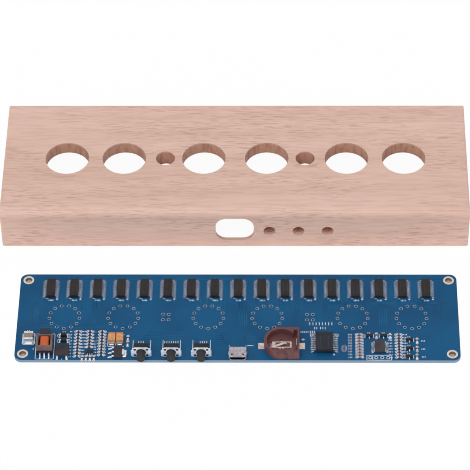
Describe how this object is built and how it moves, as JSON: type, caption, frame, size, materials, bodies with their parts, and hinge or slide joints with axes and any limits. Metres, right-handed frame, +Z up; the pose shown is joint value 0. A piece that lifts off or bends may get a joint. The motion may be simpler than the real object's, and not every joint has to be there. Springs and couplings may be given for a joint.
{
  "type": "nixie tube clock kit",
  "caption": "Desk clock kit for glow tubes: hollowed wooden case with a row of round holes, and its circuit board with pin rings, push buttons, supply socket and coin cell holder.",
  "frame": {"origin": "middle of the whole set's footprint, on the table the case and the board stand on", "axes": "+X along the row of tube holes, to the right as seen from the buttons' side; +Y from the board to the case; +Z up"},
  "size_m": [0.2062, 0.1374, 0.0215],
  "materials": {
    "beech": "satin, fine brown flecks along the grain",
    "blue_board": "glossy solder resist over copper tracks",
    "tinned_ring": "tinned copper",
    "gilded_ring": "thin gold over nickel",
    "black_epoxy": "matt moulded epoxy",
    "tinned_lead": "tinned metal",
    "ferrite": "matt sintered",
    "brown_plastic": "matt",
    "orange_wire": "enamelled copper wire",
    "tan_ceramic": "matt ceramic",
    "solder_cap": "tinned",
    "orange_resin": "satin moulded resin",
    "dark_ceramic": "matt ceramic",
    "steel_shell": "nickel plated",
    "steel_cover": "tinned steel",
    "black_plastic": "matt",
    "button_plastic": "satin",
    "red_brown_plastic": "matt heat resistant plastic",
    "gold_contact": "gilded spring strip"
  },
  "bodies": {
    "board": {"circuit_board": "blue_board", "screw_hole_plating": "tinned_ring", "tube_pin_plating": "gilded_ring", "lamp_pin_plating": "tinned_ring", "header_pin_plating": "tinned_ring", "driver_chip_bodies": "black_epoxy", "driver_chip_leads": "tinned_lead", "clock_chip_body": "black_epoxy", "clock_chip_leads": "tinned_lead", "controller_chip_body": "black_epoxy", "controller_chip_leads": "tinned_lead", "regulator_chip_body": "black_epoxy", "regulator_chip_leads": "tinned_lead", "boost_chip_body": "black_epoxy", "boost_chip_leads": "tinned_lead", "power_transistor_body": "black_epoxy", "power_transistor_leads": "tinned_lead", "power_transistor_tab": "tinned_lead", "transformer_core": "ferrite", "transformer_bobbin": "brown_plastic", "transformer_winding": "orange_wire", "transformer_pins": "tinned_lead", "boost_capacitor_body": "tan_ceramic", "boost_capacitor_ends": "solder_cap", "diode_bodies": "black_epoxy", "diode_ends": "tinned_lead", "tantalum_capacitor_bodies": "orange_resin", "tantalum_capacitor_ends": "tinned_lead", "chip_resistor_bodies": "dark_ceramic", "chip_resistor_ends": "solder_cap", "small_transistor_bodies": "black_epoxy", "small_transistor_leads": "tinned_lead", "usb_shell": "steel_shell", "usb_tongue": "black_plastic", "usb_contacts": "gilded_ring", "switch_housings": "black_plastic", "switch_covers": "steel_cover", "switch_pins": "tinned_lead", "cell_holder": "red_brown_plastic", "cell_minus_contact": "gold_contact", "cell_plus_contact": "gold_contact"},
    "case": {"wooden_case": "beech"},
    "button_left": {"switch_plunger_left": "button_plastic"},
    "button_middle": {"switch_plunger_middle": "button_plastic"},
    "button_right": {"switch_plunger_right": "button_plastic"}
  },
  "joints": [
    {"name": "case_lift", "type": "slide", "parent": "board", "child": "case", "axis": [0, 0, 1], "range_m": [0, 0.05]},
    {"name": "press_left", "type": "slide", "parent": "board", "child": "button_left", "axis": [0, 1, 0], "range_m": [0, 0.00025], "stiffness_N_per_m": 4000, "springref_m": -0.00015},
    {"name": "press_middle", "type": "slide", "parent": "board", "child": "button_middle", "axis": [0, 1, 0], "range_m": [0, 0.00025], "stiffness_N_per_m": 4000, "springref_m": -0.00015},
    {"name": "press_right", "type": "slide", "parent": "board", "child": "button_right", "axis": [0, 1, 0], "range_m": [0, 0.00025], "stiffness_N_per_m": 4000, "springref_m": -0.00015}
  ]
}
